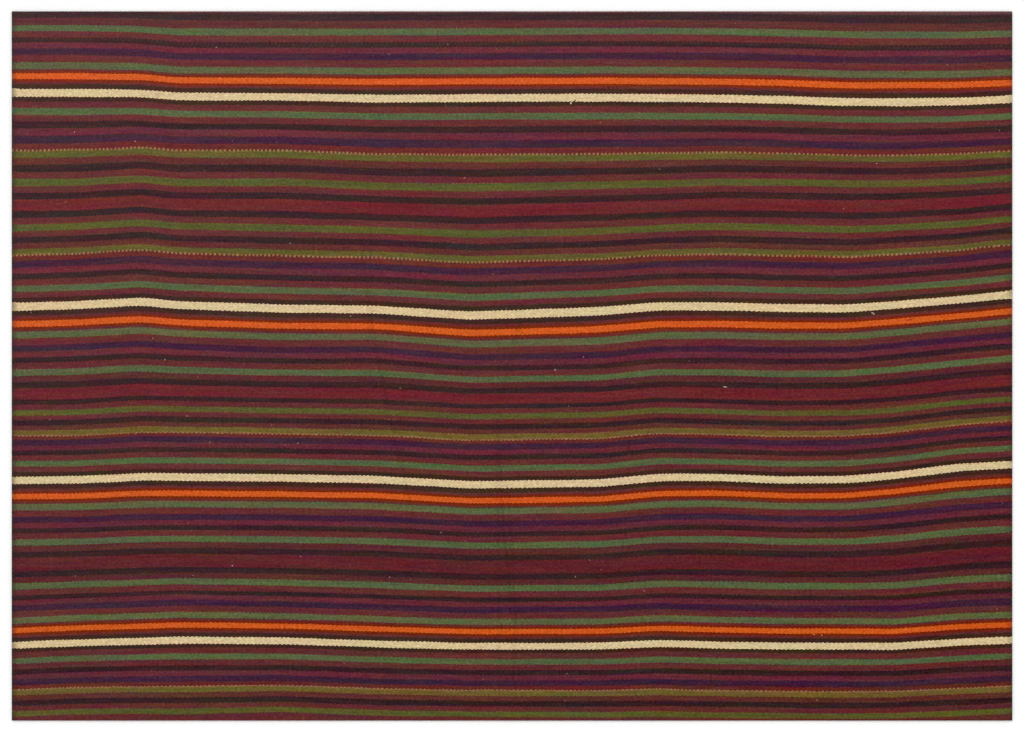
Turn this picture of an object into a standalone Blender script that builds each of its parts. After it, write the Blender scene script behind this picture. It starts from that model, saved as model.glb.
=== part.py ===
"""A flat-woven kilim rug lying on a floor, as one solid cloth.

Units are metres and +Z is up. The origin is the centre of the underside. X runs along
the stripes, from selvedge to selvedge, and Y runs along the warps, from end to end.
"""

import math

import bmesh
import bpy

# Driving dimensions
LENGTH = 1.700  # along X, from selvedge to selvedge
WIDTH = 1.205  # along Y, from end to end
THICKNESS = 0.0040  # of the woven field

# The outermost warps are doubled, so each selvedge is a slightly thicker cord.
SELVEDGE_WIDTH = 0.0075
SELVEDGE_RISE = 0.0004

# The last picks are beaten down hard, so each end is a little thinner than the field.
END_WIDTH = 0.012
END_DROP = 0.0004

# The rug was stored folded in half, which leaves a soft ridge along Y at the middle.
CREASE_HALF_WIDTH = 0.016
CREASE_RISE = 0.0006

# Slow puckers of the field, from uneven weaving tension.
PUCKERS = (
    {"rise": 0.00030, "waves_along": 2.5, "waves_across": 1.5, "phase": 0.6},
    {"rise": 0.00018, "waves_along": 5.5, "waves_across": 3.5, "phase": 2.1},
)

# Rounding of every outer edge
EDGE_RADIUS = 0.0017
EDGE_SEGMENTS = 3

# Spacing of the lines that the upper face is built on
CELLS_ALONG = 34
CELLS_ACROSS = 24

WOOL_COLOUR = (0.105, 0.036, 0.031, 1.0)
WOOL_ROUGHNESS = 0.92


def remove_all_objects():
    """Empties the scene."""
    for old in list(bpy.data.objects):
        bpy.data.objects.remove(old, do_unlink=True)


def soft_step(value):
    """Rises smoothly from 0 to 1 while the value goes from 0 to 1."""
    clamped = min(1.0, max(0.0, value))
    return clamped * clamped * (3.0 - 2.0 * clamped)


def pucker_height(x, y):
    """Rise or dip of the field above its even thickness."""
    height = 0.0
    for wave in PUCKERS:
        along = math.sin(2.0 * math.pi * wave["waves_along"] * x / LENGTH + wave["phase"])
        across = math.cos(2.0 * math.pi * wave["waves_across"] * y / WIDTH - wave["phase"])
        height += wave["rise"] * along * across
    return height


def crease_height(x):
    """Rise of the fold ridge at the middle."""
    return CREASE_RISE * (1.0 - soft_step(abs(x) / CREASE_HALF_WIDTH))


def selvedge_height(x):
    """Rise of the two selvedge cords, highest at the middle of each cord."""
    from_edge = LENGTH / 2.0 - abs(x)
    from_crown = abs(from_edge - SELVEDGE_WIDTH / 2.0)
    return SELVEDGE_RISE * (1.0 - soft_step(from_crown / (SELVEDGE_WIDTH / 2.0)))


def end_drop(y):
    """How much thinner the cloth is near its two ends."""
    from_end = WIDTH / 2.0 - abs(y)
    return END_DROP * (1.0 - soft_step(from_end / END_WIDTH))


def top_height(x, y):
    """Height of the upper face."""
    raised = pucker_height(x, y) + crease_height(x) + selvedge_height(x)
    return THICKNESS + raised - end_drop(y)


def grid_lines(half_span, cells, extra):
    """Even lines across a side, with extra lines on both sides of the middle."""
    even = [half_span * (2.0 * i / cells - 1.0) for i in range(cells + 1)]
    both_sides = [side * place for place in extra for side in (-1.0, 1.0)]
    clearance = half_span / cells / 2.0
    kept = [
        line
        for line in even
        if abs(abs(line) - half_span) < 1e-9
        or all(abs(line - place) > clearance for place in both_sides)
    ]
    return sorted(set(kept) | set(both_sides))


def cloth_mesh():
    """The slab: an uneven upper face on a grid, upright sides and one flat underside."""
    crease_lines = (0.0, CREASE_HALF_WIDTH / 2.0, CREASE_HALF_WIDTH)
    selvedge_lines = (LENGTH / 2.0 - SELVEDGE_WIDTH / 2.0, LENGTH / 2.0 - SELVEDGE_WIDTH)
    lines_x = grid_lines(LENGTH / 2.0, CELLS_ALONG, crease_lines + selvedge_lines)
    lines_y = grid_lines(WIDTH / 2.0, CELLS_ACROSS, (WIDTH / 2.0 - END_WIDTH,))

    bm = bmesh.new()
    top = [[bm.verts.new((x, y, top_height(x, y))) for x in lines_x] for y in lines_y]
    for lower, upper in zip(top, top[1:]):
        for i in range(len(lines_x) - 1):
            bm.faces.new((lower[i], lower[i + 1], upper[i + 1], upper[i]))

    first_row, last_row = top[0], top[-1]
    left_side = [row[0] for row in top]
    right_side = [row[-1] for row in top]
    rim = first_row[:-1] + right_side[:-1] + last_row[:0:-1] + left_side[:0:-1]
    foot = [bm.verts.new((v.co.x, v.co.y, 0.0)) for v in rim]
    for i in range(len(rim)):
        j = (i + 1) % len(rim)
        bm.faces.new((rim[i], foot[i], foot[j], rim[j]))
    bm.faces.new(foot[::-1])

    mesh = bpy.data.meshes.new("rug")
    bm.to_mesh(mesh)
    bm.free()
    return mesh


def wool_material():
    """Dull wool in the mean colour of the stripes."""
    material = bpy.data.materials.new("woven_wool")
    material.use_nodes = True
    shader = material.node_tree.nodes["Principled BSDF"]
    shader.inputs["Base Color"].default_value = WOOL_COLOUR
    shader.inputs["Roughness"].default_value = WOOL_ROUGHNESS
    shader.inputs["Metallic"].default_value = 0.0
    return material


def make_rug():
    """The woven cloth, with its outer edges rounded."""
    mesh = cloth_mesh()
    mesh.materials.append(wool_material())
    rug = bpy.data.objects.new("rug", mesh)
    bpy.context.scene.collection.objects.link(rug)

    rounding = rug.modifiers.new("edge_rounding", "BEVEL")
    rounding.width = EDGE_RADIUS
    rounding.segments = EDGE_SEGMENTS
    rounding.limit_method = "ANGLE"
    rounding.angle_limit = math.radians(60.0)
    mesh.shade_smooth()
    mesh.set_sharp_from_angle(angle=math.radians(50.0))
    return rug


remove_all_objects()
make_rug()
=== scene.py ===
"""The looks of a flat-woven kilim rug that lies on a floor, seen from straight above.

Units are metres unless a name says otherwise. The cloth is built in weave coordinates: the
warp number counts warps from the left selvedge, and the pick number counts picks (passes of
the weft) from the far end, at +Y. A place on the rug is also given in millimetres from its
left selvedge, or from its far end.
"""

import math

import bpy
import numpy as np
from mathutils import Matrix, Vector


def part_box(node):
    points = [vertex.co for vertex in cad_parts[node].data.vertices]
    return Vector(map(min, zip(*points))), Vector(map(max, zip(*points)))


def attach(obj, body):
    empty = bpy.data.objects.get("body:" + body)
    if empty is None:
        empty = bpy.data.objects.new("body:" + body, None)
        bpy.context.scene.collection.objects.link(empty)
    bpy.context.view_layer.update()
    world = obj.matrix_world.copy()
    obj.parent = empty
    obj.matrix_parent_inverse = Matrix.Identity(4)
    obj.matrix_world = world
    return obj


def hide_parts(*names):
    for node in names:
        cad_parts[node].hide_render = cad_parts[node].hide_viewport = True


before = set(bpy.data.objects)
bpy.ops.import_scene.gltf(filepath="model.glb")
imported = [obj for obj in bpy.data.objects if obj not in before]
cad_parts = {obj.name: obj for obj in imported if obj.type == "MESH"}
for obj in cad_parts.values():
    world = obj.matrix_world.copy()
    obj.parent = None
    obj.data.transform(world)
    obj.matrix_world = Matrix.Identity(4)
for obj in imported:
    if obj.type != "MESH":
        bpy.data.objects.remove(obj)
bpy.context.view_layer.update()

MM = 0.001
RUG_LOW, RUG_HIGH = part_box("rug")
LENGTH = RUG_HIGH[0] - RUG_LOW[0]
WIDTH = RUG_HIGH[1] - RUG_LOW[1]
LENGTH_MM = LENGTH / MM
WIDTH_MM = WIDTH / MM

# --- The surface that the CAD solid has, which the cloth follows ---
THICKNESS = 4.0 * MM
SELVEDGE_WIDTH = 7.5 * MM
SELVEDGE_RISE = 0.4 * MM
END_WIDTH = 12.0 * MM
END_DROP = 0.4 * MM
CREASE_HALF_WIDTH = 16.0 * MM
CREASE_RISE = 0.6 * MM
PUCKERS = (
    {"rise": 0.30 * MM, "waves_along": 2.5, "waves_across": 1.5, "phase": 0.6},
    {"rise": 0.18 * MM, "waves_along": 5.5, "waves_across": 3.5, "phase": 2.1},
)

# --- The weave ---
WARPS = 482
PICK_SPACING_MM = 0.8
RIB_DEPTH = 0.45 * MM  # from a rib's crest to the valley between two ribs
MESH_ROWS = 88  # rows of the cloth's mesh between its two rounded ends
END_ROWS = 4  # of them, in the band at each end that the stripes run out of
END_BAND_MM = 30.0
UNDERSIDE_COLUMNS = 24
# How much the warps' widths differ, as a share of a width: slowly over many warps, and from
# one to the next. They also wander sideways a little.
SLOW_SPREAD = 0.22
QUICK_SPREAD = 0.06
WANDER_MM = 0.7
# The rounded ends, from the outside in: share of the rounding's length, share of the height
END_ROUNDING = ((0.0, 0.3), (0.12, 0.62), (0.5, 0.9))
END_RADIUS_MM = 2.2
# The rounded selvedges, from the top down: the angle in degrees, and how far round the
# outermost rib each angle is, in warps
SIDE_ANGLES = (60.0, 30.0, 0.0, -30.0, -60.0)
SIDE_TURNS = (0.2, 0.4, 0.5, 0.4, 0.2)

DISPLAY_GAMMA = 2.2  # a display colour from 0 to 1, raised to this power, is a linear one

# Wool colours, as sRGB from 0 to 255
YARNS = {
    "crimson": (111, 42, 46),
    "wine": (102, 41, 46),
    "madder": (104, 50, 50),
    "garnet": (95, 47, 48),
    "rose": (106, 47, 57),
    "brick": (107, 47, 43),
    "clay": (99, 52, 47),
    "walnut": (61, 39, 41),
    "chestnut": (70, 43, 44),
    "umber": (68, 45, 36),
    "peat": (66, 44, 35),
    "moss": (89, 101, 66),
    "sage": (95, 100, 66),
    "olive_green": (92, 91, 46),
    "olive": (100, 92, 46),
    "bronze": (112, 93, 48),
    "mulberry": (70, 39, 59),
    "rust": (125, 43, 11),
    "orange": (214, 92, 37),
    "cream": (222, 197, 151),
    "gold": (150, 106, 75),
    "ochre": (130, 100, 61),
}
# A marled stripe takes these two yarns in turn, pick by pick.
MARLED = ("walnut", "chestnut")
# The gold is one single pick of a thick yarn, which shows as a row of dots.
SINGLE_PICK = "gold"

# The weaver's chart: one block of stripes from its outer edge inwards, with the height of
# each stripe in millimetres in each of the four times that the block is woven.
CHART = (
    # yarn          1st   2nd   3rd   4th
    ("walnut",      12.9, 10.2, 10.1, 10.2),
    ("garnet",      13.4, 10.4, 11.0, 9.8),
    ("moss",        11.5, 10.4, 10.7, 10.6),
    ("madder",      11.5, 10.6, 10.2, 10.6),
    ("marled",      4.8,  0.0,  0.0,  0.0),
    ("walnut",      4.5,  9.1,  8.5,  7.8),
    ("rose",        10.0, 9.6,  8.9,  8.6),
    ("mulberry",    11.7, 10.6, 10.2, 10.6),
    ("madder",      12.5, 11.7, 11.2, 10.3),
    ("sage",        11.5, 11.2, 10.8, 10.0),
    ("madder",      3.3,  3.8,  3.6,  3.6),
    ("rust",        4.1,  4.3,  4.4,  4.2),
    ("orange",      10.3, 10.1, 9.5,  8.7),
    ("rust",        4.5,  4.5,  4.3,  4.6),
    ("madder",      3.8,  4.4,  4.1,  3.7),
    ("umber",       8.6,  8.6,  8.4,  7.3),
    ("cream",       13.0, 13.4, 12.4, 11.4),
    ("peat",        7.8,  8.1,  7.4,  6.5),
    ("madder",      10.6, 9.9,  9.3,  9.9),
    ("moss",        10.9, 11.1, 9.8,  9.8),
    ("madder",      10.8, 10.9, 9.1,  9.8),
    ("walnut",      10.8, 9.8,  8.7,  8.8),
    ("rose",        11.6, 10.5, 8.3,  9.0),
    ("mulberry",    12.9, 11.4, 9.7,  9.9),
    ("brick",       9.5,  8.5,  5.6,  6.7),
    ("gold",        3.0,  3.0,  1.8,  1.8),
    ("ochre",       0.0,  0.0,  1.0,  1.0),
    ("olive",       10.5, 8.7,  0.0,  0.0),
    ("bronze",      0.0,  0.0,  8.2,  8.0),
    ("clay",        11.2, 9.9,  7.8,  8.7),
    ("walnut",      12.1, 10.7, 9.1,  9.7),
    ("madder",      11.0, 10.2, 8.1,  8.8),
    ("olive_green", 12.1, 11.5, 9.2,  9.5),
    ("madder",      11.1, 11.0, 8.8,  7.7),
    ("walnut",      11.0, 11.3, 8.3,  0.0),
)
# A plain band comes before each block, and the second and third blocks are woven backwards.
BLOCKS = (
    {"band": "garnet", "band_mm": 2.5, "backwards": False},
    {"band": "crimson", "band_mm": 20.0, "backwards": True},
    {"band": "crimson", "band_mm": 18.8, "backwards": True},
    {"band": "wine", "band_mm": 22.9, "backwards": False},
)

# In one place a short length of gold was woven in, between these distances from the left.
GOLD_SCRAP = {"before": "olive_green", "from_mm": 750.0, "to_mm": 840.0}

# How far the stripes ride towards the far end, in millimetres. Each row is a line across
# the rug, named by its distance from the far end; the columns are stations along it, by
# their distance from the left selvedge.
BOW_STATIONS_MM = (0, 110, 220, 280, 460, 620, 780, 1000, 1100, 1200, 1310, 1420, 1500, 1610, 1700)
BOWS_MM = {
    0:    (2, 3, 2, 0, -1, -1, 0, 0, 1, 0, -2, -5, -5, -6, -4),
    60:   (8, 8, 6, -1, -1, -1, 0, 1, 1, 0, -2, -6, -6, -6, -3),
    150:  (9, 9, 8, 3, 2, -1, 0, 1, 0, -1, -3, -7, -7, -6, -2),
    230:  (4, 5, 9, 4, 4, -2, -3, -2, -1, 0, -2, -5, -6, -3, 2),
    300:  (1, 1, 8, 1, 2, -5, -8, -3, -1, 3, 2, 0, 0, 4, 10),
    380:  (0, 3, 10, 4, 0, -3, -11, -6, 0, 3, 0, -3, 1, 7, 18),
    500:  (1, 4, 10, 4, -2, -4, -14, -6, 2, 2, -1, -2, 4, 13, 22),
    580:  (0, 3, 9, 4, -2, -1, -15, -11, -1, 0, -2, -1, 6, 17, 25),
    670:  (-3, -2, 5, 4, 1, -1, -9, -6, 2, -1, -4, -3, 2, 14, 21),
    770:  (-3, -2, 3, 3, 1, -2, -11, -8, 2, 1, -3, -2, 5, 19, 24),
    860:  (-3, -3, 2, 2, 1, -1, -10, -7, 2, 4, -1, -1, 6, 18, 24),
    1020: (-4, 1, 4, 7, 4, -1, -6, -5, 1, -2, -4, -4, -5, 4, 7),
    1205: (-1, 3, 4, 3, 7, 1, -1, -2, -1, -3, -4, -5, -4, 0, 4),
}
BEND_SOFTNESS_MM = 50.0  # a weft can't kink: bends in it are this long

# Fine wrinkles: each is a soft trough through points given as (from the left, from the far
# end) in millimetres, with its depth in millimetres and how much painted shade darkens it.
WRINKLES = (
    {"depth": 0.35, "wrinkle_shade": 0.07, "path": ((594, 380), (613, 541), (640, 680), (669, 797), (682, 858))},
    {"depth": 0.40, "wrinkle_shade": 0.08, "path": ((868, 510), (846, 600), (832, 652))},
    {"depth": 0.30, "wrinkle_shade": 0.05, "path": ((832, 640), (824, 800), (828, 950), (828, 1175))},
    {"depth": 0.30, "wrinkle_shade": 0.06, "path": ((842, 800), (852, 950), (856, 1060), (852, 1150))},
    {"depth": 0.35, "wrinkle_shade": 0.08, "path": ((829, 745), (834, 865), (843, 950), (850, 1030))},
    {"depth": 0.20, "wrinkle_shade": 0.05, "path": ((604, 270), (610, 380), (611, 500), (606, 560))},
    {"depth": 0.20, "wrinkle_shade": 0.06, "path": ((218, 5), (236, 85), (262, 205), (276, 250))},
    {"depth": 0.25, "wrinkle_shade": 0.04, "path": ((711, 330), (737, 398), (766, 468))},
    {"depth": 0.20, "wrinkle_shade": 0.03, "path": ((1568, 165), (1590, 240), (1612, 312))},
    {"depth": 0.20, "wrinkle_shade": 0.03, "path": ((1272, 1070), (1266, 1190))},
)
WRINKLE_HALF_WIDTH_MM = 6.0

# Bits of loose wool that lie on the cloth: place (from the left, from the far end), length,
# width and height in millimetres, angle in degrees from left to right, and sRGB colour.
FLUFF = (176, 138, 136)
LOOSE_BITS = (
    {"place": (107, 205), "size": (2.6, 2.2, 0.9), "angle": 80, "colour": FLUFF},
    {"place": (210, 221), "size": (3.0, 2.4, 1.0), "angle": 60, "colour": FLUFF},
    {"place": (348, 61), "size": (2.8, 2.2, 0.9), "angle": 0, "colour": FLUFF},
    {"place": (769, 283), "size": (3.0, 2.2, 0.8), "angle": 20, "colour": FLUFF},
    {"place": (261, 592), "size": (3.2, 2.6, 1.0), "angle": 90, "colour": FLUFF},
    {"place": (375, 942), "size": (3.6, 2.4, 0.9), "angle": 85, "colour": FLUFF},
    {"place": (923, 609), "size": (3.4, 2.8, 1.0), "angle": 70, "colour": FLUFF},
    {"place": (1212, 638), "size": (7.5, 2.6, 1.2), "angle": -6, "colour": FLUFF},
    {"place": (1463, 513), "size": (7.5, 3.2, 1.4), "angle": -28, "colour": FLUFF},
    {"place": (950, 156), "size": (3.4, 3.8, 1.1), "angle": 20, "colour": (225, 200, 150)},
    {"place": (957, 151.5), "size": (6.0, 1.6, 1.0), "angle": 35, "colour": (70, 60, 36)},
    {"place": (1526, 523.5), "size": (17.0, 1.6, 0.9), "angle": 24, "colour": (150, 40, 20)},
    {"place": (1363, 1058.5), "size": (4.0, 3.0, 1.0), "angle": 0, "colour": (214, 100, 45)},
    {"place": (1376, 1060), "size": (3.4, 3.0, 1.0), "angle": 60, "colour": (214, 100, 45)},
)
NEPS = 130  # smaller bits, strewn over the whole rug

rng = np.random.default_rng(17)


# --- The stripes and their place on the rug ---
def stripe_list():
    """The stripes from the far end to the near one, as (yarn, height in mm)."""
    stripes = []
    for number, block in enumerate(BLOCKS):
        stripes.append((block["band"], block["band_mm"]))
        rows = reversed(CHART) if block["backwards"] else CHART
        for row in rows:
            yarn, height = row[0], row[1 + number]
            if yarn == "marled" and height > 0.0:
                turns = round(height / PICK_SPACING_MM)
                stripes += [(MARLED[turn % 2], height / turns) for turn in range(turns)]
            elif height > 0.0:
                stripes.append((yarn, height))
    return stripes


def stripe_edges(stripes):
    """The edges of the stripes: in mm from the far end, and in whole picks."""
    edges_mm = [0.0]
    edges_pick = [0]
    for yarn, height in stripes:
        picks = 1 if yarn == SINGLE_PICK else max(1, round(height / PICK_SPACING_MM))
        edges_mm.append(edges_mm[-1] + height)
        edges_pick.append(edges_pick[-1] + picks)
    scale = WIDTH_MM / edges_mm[-1]
    return np.array(edges_mm) * scale, np.array(edges_pick, float)


def picks_at(straight_mm):
    """The pick number at a distance from the far end, measured where the weave is straight."""
    return np.interp(straight_mm, EDGES_MM, EDGES_PICK)


def soft_average(values, window):
    """Moves a bell-shaped average of an odd number of values along a row."""
    weights = np.hanning(window + 2)[1:-1]
    padded = np.pad(values, window // 2, mode="edge")
    return np.convolve(padded, weights / weights.sum(), "valid")


def bow_lines(from_left_mm):
    """The ride of each bow row at the given places, in mm."""
    step = 5.0
    fine = np.arange(0.0, LENGTH_MM + step, step)
    window = int(BEND_SOFTNESS_MM / step) // 2 * 2 + 1
    lines = []
    for ride in BOWS_MM.values():
        smooth = soft_average(np.interp(fine, BOW_STATIONS_MM, ride), window)
        lines.append(np.interp(from_left_mm, fine, smooth))
    return np.array(lines)


def bow(lines, straight_mm):
    """The ride at each vertex, for an array with a row for each line of vertices."""
    rows_mm = np.array(list(BOWS_MM), float)
    columns = [
        np.interp(straight_mm[:, i], rows_mm, lines[:, i]) for i in range(lines.shape[1])
    ]
    return np.array(columns).T


STRIPES = stripe_list()
EDGES_MM, EDGES_PICK = stripe_edges(STRIPES)
PICKS = EDGES_PICK[-1]


# --- The cloth's mesh ---
def soft_step(value):
    """Rises smoothly from 0 to 1 while the value goes from 0 to 1."""
    clamped = np.clip(value, 0.0, 1.0)
    return clamped * clamped * (3.0 - 2.0 * clamped)


def top_height(x, y):
    """Height of the CAD solid's upper face."""
    height = np.full(np.broadcast(x, y).shape, THICKNESS)
    for wave in PUCKERS:
        along = np.sin(2.0 * math.pi * wave["waves_along"] * x / LENGTH + wave["phase"])
        across = np.cos(2.0 * math.pi * wave["waves_across"] * y / WIDTH - wave["phase"])
        height = height + wave["rise"] * along * across
    height = height + CREASE_RISE * (1.0 - soft_step(np.abs(x) / CREASE_HALF_WIDTH))
    from_crown = np.abs(LENGTH / 2.0 - np.abs(x) - SELVEDGE_WIDTH / 2.0)
    height = height + SELVEDGE_RISE * (1.0 - soft_step(from_crown / (SELVEDGE_WIDTH / 2.0)))
    from_end = WIDTH / 2.0 - np.abs(y)
    return height - END_DROP * (1.0 - soft_step(from_end / END_WIDTH))


def wrinkle_cover(wrinkle, from_left, from_far):
    """How fully each place lies in a wrinkle, from 0 to 1; it fades out at its ends."""
    path = np.array(wrinkle["path"], float)
    centre = np.interp(from_far, path[:, 1], path[:, 0])
    across = 1.0 - soft_step(np.abs(from_left - centre) / WRINKLE_HALF_WIDTH_MM)
    fade_mm = 40.0
    start = soft_step((from_far - path[0, 1]) / fade_mm + 0.5)
    end = soft_step((path[-1, 1] - from_far) / fade_mm + 0.5)
    return across * start * end


def warp_edges():
    """Places of the valleys between the warps, unevenly spaced, in mm from the left."""
    slow = soft_average(rng.normal(0.0, 1.0, WARPS), 25) * SLOW_SPREAD
    quick = rng.normal(0.0, QUICK_SPREAD, WARPS)
    widths = np.clip(1.0 + slow + quick, 0.7, 1.4)
    edges = np.concatenate([[0.0], np.cumsum(widths)])
    return LENGTH_MM * edges / edges[-1]


def meander(columns, rows):
    """How far the warps wander sideways from row to row, in mm."""
    lines, stations = rows // 6 + 3, columns // 40 + 3
    coarse = rng.normal(0.0, 1.0, (lines, stations))
    row_place = np.linspace(0.0, lines - 1.0, rows)
    column_place = np.linspace(0.0, stations - 1.0, columns)
    across = np.array([np.interp(column_place, np.arange(stations), line) for line in coarse])
    field = np.array([np.interp(row_place, np.arange(lines), line) for line in across.T]).T
    from_side = np.minimum(np.arange(columns), np.arange(columns)[::-1])
    return WANDER_MM * field * soft_step(from_side / 30.0)


def straight_rows():
    """The mesh's rows between the end bands: the stripe edges that matter most.

    Stripes differ a little in the height of a pick. The pick number runs evenly between
    two rows, so the edges that such an even run would place best are dropped.
    """
    inside = (EDGES_MM > END_BAND_MM) & (EDGES_MM < EDGES_MM[-1] - END_BAND_MM)
    rows = list(np.flatnonzero(inside))
    while len(rows) > MESH_ROWS - 2 * END_ROWS:
        mm, picks = EDGES_MM[rows], EDGES_PICK[rows]
        slope = (picks[2:] - picks[:-2]) / (mm[2:] - mm[:-2])
        misplaced = np.abs(picks[:-2] + slope * (mm[1:-1] - mm[:-2]) - picks[1:-1])
        gap = mm[2:] - mm[:-2]
        rows.pop(1 + int(np.argmin(misplaced + gap / 60.0)))
    return EDGES_MM[rows]


def row_distances(lines):
    """Distance from the far end of each vertex, with a row for each line of vertices."""
    columns = lines.shape[1]
    inner = straight_rows()
    straight = np.repeat(inner[:, None], columns, axis=1)
    middle = straight - bow(lines, straight)
    steps = np.linspace(0.0, 1.0, END_ROWS, endpoint=False)[:, None]
    far = END_RADIUS_MM + steps * (middle[:1] - END_RADIUS_MM)
    near = WIDTH_MM - END_RADIUS_MM - steps[::-1] * (WIDTH_MM - END_RADIUS_MM - middle[-1:])
    outer = np.array([share * END_RADIUS_MM for share, _ in END_ROUNDING])
    far_end = np.repeat(outer[:, None], columns, axis=1)
    near_end = WIDTH_MM - far_end[::-1]
    return np.concatenate([far_end, far, middle, near, near_end])


def straight_distances(lines, distances):
    """Where each vertex would lie if the stripes were straight."""
    straight = distances.copy()
    for _ in range(4):
        straight = distances + bow(lines, np.clip(straight, 0.0, WIDTH_MM))
    return np.clip(straight, 0.0, WIDTH_MM)


def side_points(x, y, top, low, side):
    """The rounding of one selvedge at one row, from the top down."""
    middle = (top + low) / 2.0
    radius = (top - low) / 2.0
    reach = LENGTH / 2.0 - abs(x)
    return [
        (x + side * reach * math.cos(angle), y, middle + radius * math.sin(angle))
        for angle in map(math.radians, SIDE_ANGLES)
    ]


def build_cloth():
    """The woven cloth as one closed mesh.

    Each row of the mesh is a ring round the cloth's section. It runs along the top from
    left to right, with a vertex in each valley and on each crest, round the right selvedge,
    back along the underside, and round the left selvedge.
    """
    edges = warp_edges()
    crests = (edges[:-1] + edges[1:]) / 2.0
    from_left = np.sort(np.concatenate([edges[1:-1], crests[1:-1]]))
    warp = 1.0 + 0.5 * np.arange(len(from_left))
    lines = bow_lines(from_left)
    from_far = row_distances(lines)
    picks = picks_at(straight_distances(lines, from_far))

    rows, columns = from_far.shape
    places = from_left[None, :] + meander(columns, rows)
    x = places * MM - LENGTH / 2.0
    y = WIDTH / 2.0 - from_far * MM
    ribs = np.where(np.arange(columns) % 2 == 0, -RIB_DEPTH, 0.0)
    unevenness = rng.normal(0.0, 0.03 * MM, (rows, columns))
    top = top_height(x, y) + ribs + unevenness
    # How much painted shade darkens each vertex in the wrinkles.
    wrinkle_shade = np.zeros((rows, columns))
    for wrinkle in WRINKLES:
        cover = wrinkle_cover(wrinkle, places, from_far)
        top -= cover * wrinkle["depth"] * MM
        wrinkle_shade = np.maximum(wrinkle_shade, cover * wrinkle["wrinkle_shade"])

    shares = np.ones(rows)
    for i, (_, share) in enumerate(END_ROUNDING):
        shares[i] = shares[-1 - i] = share
    middle = THICKNESS / 2.0
    top = middle + (top - middle) * shares[:, None]
    low = middle * (1.0 - shares)

    under = np.linspace(0, columns - 1, UNDERSIDE_COLUMNS + 1).round().astype(int)[::-1]
    vertices, weave, wrinkle_shade_values = [], [], []
    for j in range(rows):
        vertices += zip(x[j], y[j], top[j])
        weave += [(number, pick, 0.0) for number, pick in zip(warp, picks[j])]
        vertices += side_points(x[j, -1], y[j, -1], top[j, -1], low[j], 1.0)
        weave += [(warp[-1] + turn, picks[j, -1], 0.0) for turn in SIDE_TURNS]
        vertices += [(x[j, i], y[j, i], low[j]) for i in under]
        weave += [(warp[i], picks[j, i], 1.0) for i in under]
        vertices += side_points(x[j, 0], y[j, 0], top[j, 0], low[j], -1.0)[::-1]
        weave += [(warp[0] - turn, picks[j, 0], 0.0) for turn in SIDE_TURNS]
        wrinkle_shade_values += list(wrinkle_shade[j]) + [0.0] * (len(under) + 2 * len(SIDE_ANGLES))
    ring = len(vertices) // rows

    faces = []
    for j in range(rows - 1):
        this, following = j * ring, (j + 1) * ring
        for i in range(ring):
            k = (i + 1) % ring
            faces.append((this + i, following + i, following + k, this + k))
    faces.append(tuple(range(ring)))
    faces.append(tuple((rows - 1) * ring + i for i in reversed(range(ring))))

    mesh = bpy.data.meshes.new("rug_cloth")
    mesh.from_pydata(vertices, [], faces)
    mesh.attributes.new("weave", "FLOAT_VECTOR", "POINT").data.foreach_set(
        "vector", np.array(weave, float).ravel())
    mesh.attributes.new("wrinkle_shade", "FLOAT", "POINT").data.foreach_set("value", wrinkle_shade_values)
    mesh.shade_smooth()
    cloth = bpy.data.objects.new("rug_cloth", mesh)
    bpy.context.scene.collection.objects.link(cloth)
    return cloth


SUNK_MM = 0.35  # how deep a bit of loose wool sits between the ribs
LUMP_SIDES = 10
LUMP_LEVELS = (0.0, 35.0, 65.0)  # degrees up from its rim


def lump(bit):
    """A soft lump that lies on the cloth: its vertices, from the rim up, and its faces."""
    length, width, height = bit["size"]
    turn = math.radians(bit["angle"])
    x_middle = bit["place"][0] * MM - LENGTH / 2.0
    y_middle = WIDTH / 2.0 - bit["place"][1] * MM
    vertices = []
    for level in map(math.radians, LUMP_LEVELS):
        spread = math.cos(level)
        rise = (math.sin(level) * height - SUNK_MM) * MM
        for side in range(LUMP_SIDES):
            around = 2.0 * math.pi * side / LUMP_SIDES
            uneven = spread * rng.uniform(0.8, 1.15)
            along = uneven * length / 2.0 * math.cos(around) * MM
            across = uneven * width / 2.0 * math.sin(around) * MM
            x = x_middle + along * math.cos(turn) - across * math.sin(turn)
            y = y_middle + along * math.sin(turn) + across * math.cos(turn)
            vertices.append((x, y, float(top_height(x, y)) + rise))
    top = float(top_height(x_middle, y_middle)) + (height - SUNK_MM) * MM
    vertices.append((x_middle, y_middle, top))

    faces = [tuple(reversed(range(LUMP_SIDES)))]
    last_ring = LUMP_SIDES * (len(LUMP_LEVELS) - 1)
    for ring in range(0, last_ring + 1, LUMP_SIDES):
        for side in range(LUMP_SIDES):
            a, b = ring + side, ring + (side + 1) % LUMP_SIDES
            above = (len(vertices) - 1,) if ring == last_ring else (b + LUMP_SIDES, a + LUMP_SIDES)
            faces.append((a, b) + above)
    return vertices, faces


def strewn_neps():
    """Small pale bits, dense enough to see and nowhere in rows."""
    neps = []
    for _ in range(NEPS):
        place = (rng.uniform(15.0, LENGTH_MM - 15.0), rng.uniform(8.0, WIDTH_MM - 8.0))
        width = rng.uniform(1.2, 2.2)
        size = (width * rng.uniform(1.0, 1.8), width, rng.uniform(0.6, 0.9))
        fade = rng.uniform(0.65, 1.0)
        angle = rng.uniform(0.0, 180.0)
        colour = tuple(fade * channel for channel in FLUFF)
        neps.append({"place": place, "size": size, "angle": angle, "colour": colour})
    return neps


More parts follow.
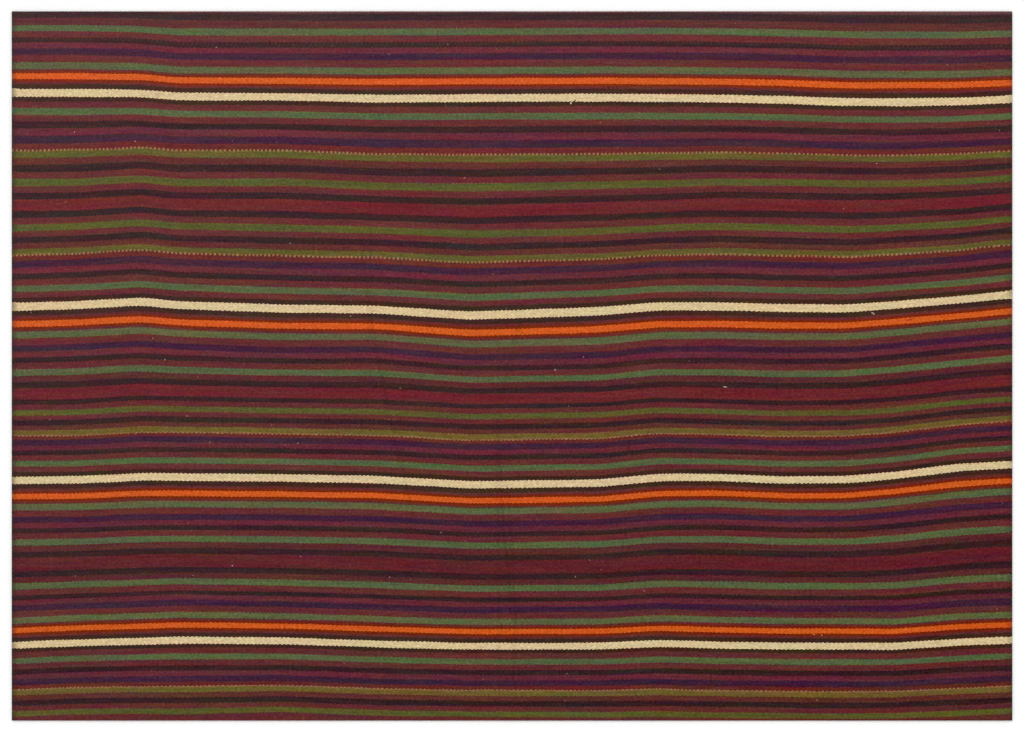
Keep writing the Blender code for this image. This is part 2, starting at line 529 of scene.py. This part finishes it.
def build_loose_wool():
    """All the loose bits as one mesh, with a colour of its own for each."""
    vertices, faces, tints = [], [], []
    for bit in list(LOOSE_BITS) + strewn_neps():
        points, around = lump(bit)
        faces += [tuple(len(vertices) + i for i in face) for face in around]
        vertices += points
        tint = tuple(channel ** DISPLAY_GAMMA for channel in display_colour(bit["colour"]))
        tints += [tint] * len(points)
    mesh = bpy.data.meshes.new("loose_wool")
    mesh.from_pydata(vertices, [], faces)
    mesh.attributes.new("tint", "FLOAT_COLOR", "POINT").data.foreach_set(
        "color", np.array(tints).ravel())
    mesh.shade_smooth()
    wool = bpy.data.objects.new("loose_wool", mesh)
    bpy.context.scene.collection.objects.link(wool)
    return wool


# --- Materials ---
def display_colour(colour):
    """An sRGB colour from 0 to 255, as red, green, blue and opacity from 0 to 1."""
    return tuple(channel / 255.0 for channel in colour) + (1.0,)


class Graph:
    """Adds nodes to one material's shader in short calls."""

    def __init__(self, name):
        self.material = bpy.data.materials.new(name)
        self.material.use_nodes = True
        self.nodes = self.material.node_tree.nodes
        self.links = self.material.node_tree.links
        self.shader = self.nodes["Principled BSDF"]

    def feed(self, socket, value):
        """Links a socket to a value's own socket, or sets it."""
        if isinstance(value, bpy.types.NodeSocket):
            self.links.new(value, socket)
        else:
            socket.default_value = value

    def node(self, kind, **settings):
        node = self.nodes.new(kind)
        for name, value in settings.items():
            setattr(node, name, value)
        return node

    def math(self, operation, a, b=0.0, clamp=False):
        node = self.node("ShaderNodeMath", operation=operation, use_clamp=clamp)
        self.feed(node.inputs[0], a)
        self.feed(node.inputs[1], b)
        return node.outputs[0]

    def add(self, *terms):
        total = terms[0]
        for term in terms[1:]:
            total = self.math("ADD", total, term)
        return total

    def times(self, *factors):
        product = factors[0]
        for factor in factors[1:]:
            product = self.math("MULTIPLY", product, factor)
        return product

    def minus(self, a, b):
        return self.math("SUBTRACT", a, b)

    def vector(self, x, y, z=0.0):
        node = self.node("ShaderNodeCombineXYZ")
        for socket, value in zip(node.inputs, (x, y, z)):
            self.feed(socket, value)
        return node.outputs[0]

    def grey(self, value):
        """The same value in all three channels."""
        return self.vector(value, value, value)

    def vector_math(self, operation, a, b, c=(0.0, 0.0, 0.0)):
        node = self.node("ShaderNodeVectorMath", operation=operation)
        for socket, value in zip(node.inputs, (a, b, c)):
            self.feed(socket, value)
        return node.outputs["Value" if operation == "DOT_PRODUCT" else "Vector"]

    def noise(self, vector, detail=0.0):
        """Smooth noise that varies over about one unit: (value from 0 to 1, colour)."""
        node = self.node("ShaderNodeTexNoise", noise_dimensions="3D")
        self.feed(node.inputs["Vector"], vector)
        node.inputs["Scale"].default_value = 1.0
        node.inputs["Detail"].default_value = detail
        return node.outputs[0], node.outputs[1]

    def scatter(self, vector):
        """White noise, one value from 0 to 1 for each whole place."""
        node = self.node("ShaderNodeTexWhiteNoise", noise_dimensions="3D")
        self.feed(node.inputs["Vector"], vector)
        return node.outputs["Value"]

    def swing(self, value, reach):
        """Maps 0..1 to -reach..reach."""
        return self.times(self.minus(value, 0.5), 2.0 * reach)

    def gamma(self, colour, power):
        node = self.node("ShaderNodeGamma")
        self.feed(node.inputs["Color"], colour)
        node.inputs["Gamma"].default_value = power
        return node.outputs[0]

    def mix(self, factor, a, b):
        node = self.node("ShaderNodeMix", data_type="RGBA")
        self.feed(node.inputs["Factor"], factor)
        self.feed(node.inputs[6], a)
        self.feed(node.inputs[7], b)
        return node.outputs[2]

    def bump(self, height, strength, distance):
        """Shades the surface as if it rose by the height, which is in units of the distance."""
        node = self.node("ShaderNodeBump")
        node.inputs["Strength"].default_value = strength
        node.inputs["Distance"].default_value = distance
        self.feed(node.inputs["Height"], height)
        self.links.new(node.outputs[0], self.shader.inputs["Normal"])


RAMP_STOPS = 24  # a colour ramp holds up to 32
RAMP_STEPS = 256.0  # and the number of even steps it is read in


def ramp_groups():
    """Shares the stripes out to the ramps, as (first stripe, stripe after the last)."""
    groups = []
    first = 0
    for number in range(1, len(STRIPES) + 1):
        full = number == len(STRIPES) or number - first == RAMP_STOPS
        if full or EDGES_PICK[number + 1] - EDGES_PICK[first] > RAMP_STEPS:
            groups.append((first, number))
            first = number
    return groups


def yarn_colour(graph, pick):
    """The yarn's display colour at a whole pick, from as many ramps as the stripes need."""
    result = None
    for first, after in ramp_groups():
        start = EDGES_PICK[first]
        ramp = graph.node("ShaderNodeValToRGB")
        ramp.color_ramp.interpolation = "CONSTANT"
        stops = ramp.color_ramp.elements
        stops.remove(stops[-1])
        for number, (yarn, _) in enumerate(STRIPES[first:after]):
            place = max(0.0, (EDGES_PICK[first + number] - start - 0.5) / RAMP_STEPS)
            stop = stops[0] if number == 0 else stops.new(place)
            stop.color = display_colour(YARNS[yarn])
        within = graph.minus(pick, float(start) - 0.25)
        graph.feed(ramp.inputs[0], graph.math("DIVIDE", within, RAMP_STEPS))
        if result is None:
            result = ramp.outputs[0]
        else:
            past = graph.math("GREATER_THAN", pick, float(start) - 0.5)
            result = graph.mix(past, result, ramp.outputs[0])
    return result


def scrap_cover(graph, column, pick):
    """1 on the short length of gold, which is the last pick before the first such stripe."""
    stripe = [yarn for yarn, _ in STRIPES].index(GOLD_SCRAP["before"])
    apart = graph.math("ABSOLUTE", graph.minus(pick, float(EDGES_PICK[stripe]) - 1.0))
    middle = (GOLD_SCRAP["from_mm"] + GOLD_SCRAP["to_mm"]) / 2.0 / LENGTH_MM * WARPS
    reach = (GOLD_SCRAP["to_mm"] - GOLD_SCRAP["from_mm"]) / 2.0 / LENGTH_MM * WARPS
    from_middle = graph.math("ABSOLUTE", graph.minus(column, middle))
    on_pick = graph.math("LESS_THAN", apart, 0.5)
    return graph.times(on_pick, graph.math("LESS_THAN", from_middle, reach))


# How far a pick strays from its even place, in picks: from warp to warp, along one warp, and
# slowly over the cloth; and how far it climbs where the weft turns round a selvedge.
WARP_STRAY = 0.1
DRIFT_STRAY = 0.6
SWAY_STRAY = 0.9
TURN_STRAY = 6.0
TURN_WARPS = 4.0  # the reach of that turn
BEAD_SLANT = 0.12  # a bead's own climb, in picks to either side of its middle


def weave_beads(graph, warp, pick_place, side):
    """The bead of weft at each place.

    A weft passes over every second warp, and the next one over the warps between. Each
    bead is two picks high, and the beads of neighbouring warps are a pick apart.
    """
    column = graph.math("FLOOR", warp)
    across = graph.math("FRACT", warp)
    parity = graph.math("FLOORED_MODULO", graph.add(column, side), 2.0)

    own = graph.scatter(graph.vector(column, 5.0))
    drift = graph.noise(graph.vector(graph.times(column, 3.7), graph.times(pick_place, 0.1)))[0]
    sway = graph.noise(graph.vector(graph.times(warp, 0.05), graph.times(pick_place, 0.05), 9.0))[0]
    turn = graph.noise(graph.vector(2.0, graph.times(pick_place, 0.11), 3.0))[0]
    bent = graph.times(graph.swing(turn, TURN_STRAY), selvedge(graph, warp, TURN_WARPS))
    place = graph.add(
        pick_place, graph.swing(own, WARP_STRAY), graph.swing(drift, DRIFT_STRAY),
        graph.swing(sway, SWAY_STRAY), graph.swing(across, BEAD_SLANT), bent)
    height = graph.times(graph.add(place, 0.5, parity), 0.5)
    bead = graph.math("FLOOR", height)
    along = graph.math("FRACT", height)
    pick = graph.minus(graph.times(bead, 2.0), parity)
    return column, across, along, pick


def selvedge(graph, warp, reach):
    """1 at either selvedge, falling to 0 over a number of warps."""
    to_edge = graph.math("MINIMUM", warp, graph.minus(float(WARPS), warp))
    return graph.math("SUBTRACT", 1.0, graph.times(to_edge, 1.0 / reach), clamp=True)


def far_end(graph, pick_place, reach):
    """1 at the far end, falling to 0 over a number of picks."""
    return graph.math("SUBTRACT", 1.0, graph.times(pick_place, 1.0 / reach), clamp=True)


def dome(graph, value):
    """Rises from 0 at both ends of 0..1 to 1 in the middle."""
    from_middle = graph.math("ABSOLUTE", graph.swing(value, 1.0))
    return graph.minus(1.0, graph.math("POWER", from_middle, 2.0))


# The unevenness of the dye and of the fuzz is noise: how many of its cells there are to a
# warp and to a pick, which layer of the noise it is, and how far it reaches to either side.
DYE_PATCHES = {"per_warp": 0.11, "per_pick": 0.20, "layer": 4.0, "detail": 0.0,
               "reach": (0.040, 0.028, 0.032)}
SLOW_DYE = {"per_warp": 0.02, "per_pick": 0.09, "layer": 8.0, "detail": 1.0,
            "reach": (0.068, 0.046, 0.044)}
FUZZ_STREAKS = {"per_warp": 0.7, "per_pick": 0.30, "layer": 7.0, "detail": 0.0, "reach": 0.16}
FUZZ_CLOUDS = {"per_warp": 0.2, "per_pick": 0.25, "layer": 11.0, "detail": 0.0, "reach": 0.06}
# The red dye is stronger at the far end than at the near one.
RED_AT_FAR_END = 0.012
RED_LOSS = 0.034  # from end to end
# The bright yarns, redder than this, are dyed more evenly than the others.
BRIGHT_RED = 0.46
BRIGHT_CALM = 0.35


def variation(graph, warp, pick, kind):
    """One of the kinds of noise above: (value from 0 to 1, colour)."""
    place = graph.vector(
        graph.times(warp, kind["per_warp"]), graph.times(pick, kind["per_pick"]), kind["layer"])
    return graph.noise(place, detail=kind["detail"])


def channel_shift(graph, warp, pick, kind):
    """A shift of each channel, from minus its reach to its reach."""
    shift = variation(graph, warp, pick, kind)[1]
    reach = kind["reach"]
    return graph.vector_math(
        "MULTIPLY_ADD", shift, tuple(2.0 * channel for channel in reach),
        tuple(-channel for channel in reach))


def drifting_dye(graph, colour, warp, pick, pick_place):
    """Lets the dye drift along the yarn: in patches a few picks high, and slowly over the rug."""
    channels = graph.node("ShaderNodeSeparateColor")
    graph.feed(channels.inputs[0], colour)
    red, green, _ = channels.outputs
    redness = graph.math("MULTIPLY", graph.minus(red, green), 4.0, clamp=True)
    lost = graph.times(pick_place, -RED_LOSS / float(PICKS))
    fade = graph.times(redness, graph.add(RED_AT_FAR_END, lost))
    bright = graph.math("GREATER_THAN", red, BRIGHT_RED)
    calm = graph.minus(1.0, graph.times(bright, BRIGHT_CALM))
    drift = graph.vector_math(
        "ADD", channel_shift(graph, warp, pick, DYE_PATCHES),
        channel_shift(graph, warp, pick, SLOW_DYE))
    colour = graph.vector_math("ADD", colour, graph.vector(fade, 0.0, 0.0))
    return graph.vector_math("MULTIPLY_ADD", drift, graph.grey(calm), colour)


def fuzz_and_shade(graph, colour, shade):
    """Lightens or darkens a colour.

    That is partly pale fuzz or the lack of it and partly painted shade between the ribs and the beads,
    and it changes the channels nearly alike.
    """
    luminance = graph.vector_math("DOT_PRODUCT", colour, (0.3, 0.59, 0.11))
    fuzz = graph.vector_math(
        "MULTIPLY_ADD", graph.mix(0.6, colour, graph.grey(luminance)), (0.75, 0.75, 0.75),
        (0.14, 0.14, 0.14))
    return graph.vector_math("MULTIPLY_ADD", fuzz, graph.grey(shade), colour)


SELVEDGE_SHADE = (0.065, 0.035, 0.030, 1.0)  # painted shade on the rounded selvedges, a dull dark brown


def painted_light_and_wear(graph, colour, warp, pick_place):
    """Painted haze and light falloff that pale the far left, a worn far end, and painted shade in the
    wrinkles and on the selvedges.
    """
    from_right = graph.minus(1.0, graph.times(warp, 1.0 / WARPS))
    from_near = graph.minus(1.0, graph.times(pick_place, 1.0 / float(PICKS)))
    # Painted light: a haze and a falloff of light, strongest at the far left.
    painted_haze_and_falloff = graph.add(graph.times(from_right, 0.4), graph.times(from_near, 0.6))
    worn = graph.noise(graph.vector(graph.times(warp, 0.025), 13.0))[0]
    # Lifts the colours by the painted haze, and at the worn far end.
    pale = graph.add(
        graph.times(painted_haze_and_falloff, 0.0115), graph.times(far_end(graph, pick_place, 100.0), 0.004),
        graph.times(far_end(graph, pick_place, 6.0), worn, 0.04), -0.0062)

    # Painted shade: the rounded selvedges are darkened and dulled, unevenly along them and more on the
    # left.
    selvedge_shade_noise = graph.noise(graph.vector(3.0, graph.times(pick_place, 0.07), 6.0))[0]
    selvedge_shade_reach = graph.add(graph.times(selvedge_shade_noise, 1.4), graph.times(from_right, 0.8))
    edge = graph.times(selvedge(graph, warp, 3.0), selvedge_shade_reach)
    colour = graph.mix(graph.times(edge, 0.3), colour, SELVEDGE_SHADE)

    # Painted shade in the wrinkles darkens them.
    wrinkle_shade = graph.node("ShaderNodeAttribute", attribute_name="wrinkle_shade").outputs["Fac"]
    wrinkle_shade_gain = graph.minus(1.0, graph.times(wrinkle_shade, 2.0))
    selvedge_shade_gain = graph.minus(1.0, graph.times(edge, 0.25))
    # The gain holds the painted light falloff, the painted shade in the wrinkles and the painted shade
    # on the selvedges.
    gain = graph.times(graph.add(graph.times(painted_haze_and_falloff, 0.05), 0.785), wrinkle_shade_gain, selvedge_shade_gain)
    return graph.vector_math("MULTIPLY_ADD", colour, graph.grey(gain), graph.grey(pale))


def wool_material():
    """The woven wool: beads of weft over the warps, in the chart's stripes."""
    graph = Graph("kilim_wool")
    weave = graph.node("ShaderNodeAttribute", attribute_name="weave")
    split = graph.node("ShaderNodeSeparateXYZ")
    graph.links.new(weave.outputs["Vector"], split.inputs[0])
    warp, pick_place, side = split.outputs
    column, across, along, pick = weave_beads(graph, warp, pick_place, side)
    rib = dome(graph, across)
    bead = dome(graph, along)

    # Each bead, and each small patch of beads, is a little lighter or darker than the next.
    per_bead = graph.scatter(graph.vector(column, pick, 2.0))
    streaks = graph.swing(variation(graph, warp, pick, FUZZ_STREAKS)[0], FUZZ_STREAKS["reach"])
    clouds = graph.swing(variation(graph, warp, pick, FUZZ_CLOUDS)[0], FUZZ_CLOUDS["reach"])
    # Painted shade: darker in the valleys between the ribs and between the beads.
    rib_shade = graph.add(graph.times(rib, 0.04), -0.027)
    bead_shade = graph.add(graph.times(bead, 0.20), -0.133)
    shade = graph.add(graph.swing(per_bead, 0.025), streaks, clouds, rib_shade, bead_shade)

    colour = yarn_colour(graph, pick)
    scrap = graph.times(scrap_cover(graph, column, pick), 0.7)
    colour = graph.mix(scrap, colour, display_colour(YARNS["gold"]))
    colour = drifting_dye(graph, colour, warp, pick, pick_place)
    colour = fuzz_and_shade(graph, colour, shade)
    colour = graph.vector_math("MAXIMUM", colour, (0.0, 0.0, 0.0))
    colour = graph.gamma(colour, DISPLAY_GAMMA)
    graph.feed(graph.shader.inputs["Base Color"], painted_light_and_wear(graph, colour, warp, pick_place))

    graph.feed(graph.shader.inputs["Roughness"], graph.add(0.82, graph.swing(per_bead, 0.06)))
    graph.shader.inputs["Specular IOR Level"].default_value = 0.06
    graph.shader.inputs["Sheen Weight"].default_value = 0.02
    graph.shader.inputs["Sheen Roughness"].default_value = 0.5
    bead_height = graph.times(rib, graph.add(graph.times(bead, 0.6), 0.4))
    fibre_place = graph.vector(graph.times(warp, 5.0), graph.times(pick_place, 9.0), 1.0)
    fibres = graph.times(graph.noise(fibre_place)[0], 0.25)
    graph.bump(graph.add(bead_height, fibres), strength=0.7, distance=0.5 * MM)
    return graph.material


def fluff_material():
    """Teased wool: the bits' own colours, mottled, on a fibrous surface."""
    graph = Graph("loose_fluff")
    tint = graph.node("ShaderNodeAttribute", attribute_name="tint").outputs["Color"]
    place = graph.node("ShaderNodeTexCoord").outputs["Object"]
    fine = graph.vector_math("MULTIPLY", place, (1500.0, 1500.0, 1500.0))
    mottle = graph.noise(fine, detail=2.0)[0]
    light = graph.grey(graph.add(0.8, graph.swing(mottle, 0.3)))
    graph.feed(graph.shader.inputs["Base Color"], graph.vector_math("MULTIPLY", tint, light))
    graph.feed(graph.shader.inputs["Roughness"], graph.add(0.88, graph.swing(mottle, 0.08)))
    graph.shader.inputs["Specular IOR Level"].default_value = 0.2
    graph.shader.inputs["Sheen Weight"].default_value = 0.2
    graph.bump(mottle, strength=0.6, distance=0.3 * MM)
    return graph.material


# --- The stage ---
FLOOR_REACH = 12.0
FLOOR_LEVEL = -0.3 * MM
VIEW_WIDTH = 1.739
CAMERA_HEIGHT = 4.0
SENSOR = 36.0


def make_floor():
    """A plain pale floor."""
    mesh = bpy.data.meshes.new("floor")
    signs = ((-1.0, -1.0), (1.0, -1.0), (1.0, 1.0), (-1.0, 1.0))
    corners = [(right * FLOOR_REACH, far * FLOOR_REACH, FLOOR_LEVEL) for right, far in signs]
    mesh.from_pydata(corners, [], [(0, 1, 2, 3)])
    graph = Graph("pale_floor")
    graph.shader.inputs["Base Color"].default_value = (0.86, 0.86, 0.86, 1.0)
    graph.shader.inputs["Roughness"].default_value = 0.8
    mesh.materials.append(graph.material)
    floor = bpy.data.objects.new("floor", mesh)
    bpy.context.scene.collection.objects.link(floor)


def make_lights():
    """A soft even sky and one soft lamp from the far left."""
    world = bpy.data.worlds.new("studio")
    world.use_nodes = True
    background = world.node_tree.nodes["Background"]
    background.inputs["Color"].default_value = (1.0, 1.0, 1.0, 1.0)
    background.inputs["Strength"].default_value = 1.0
    bpy.context.scene.world = world
    lamp = bpy.data.lights.new("key", "SUN")
    lamp.energy = 0.85
    lamp.angle = math.radians(25.0)
    key = bpy.data.objects.new("key", lamp)
    key.rotation_euler = (math.radians(-35.0), math.radians(-35.0), 0.0)
    bpy.context.scene.collection.objects.link(key)


def make_camera():
    """The camera, straight above the middle of the rug."""
    data = bpy.data.cameras.new("camera")
    data.sensor_width = SENSOR
    data.lens = SENSOR * CAMERA_HEIGHT / VIEW_WIDTH
    camera = bpy.data.objects.new("camera", data)
    camera.location = (0.0, 0.0, CAMERA_HEIGHT + THICKNESS)
    bpy.context.scene.collection.objects.link(camera)
    bpy.context.scene.camera = camera
    bpy.context.scene.view_settings.view_transform = "Standard"


def dress_rug(piece, material):
    """Makes a piece part of the rug's looks, in place of its plain solid."""
    piece.data.materials.append(material)
    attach(piece, "root")
    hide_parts("rug")


cloth = build_cloth()
dress_rug(cloth, wool_material())
loose_wool = build_loose_wool()
dress_rug(loose_wool, fluff_material())

make_floor()
make_lights()
make_camera()
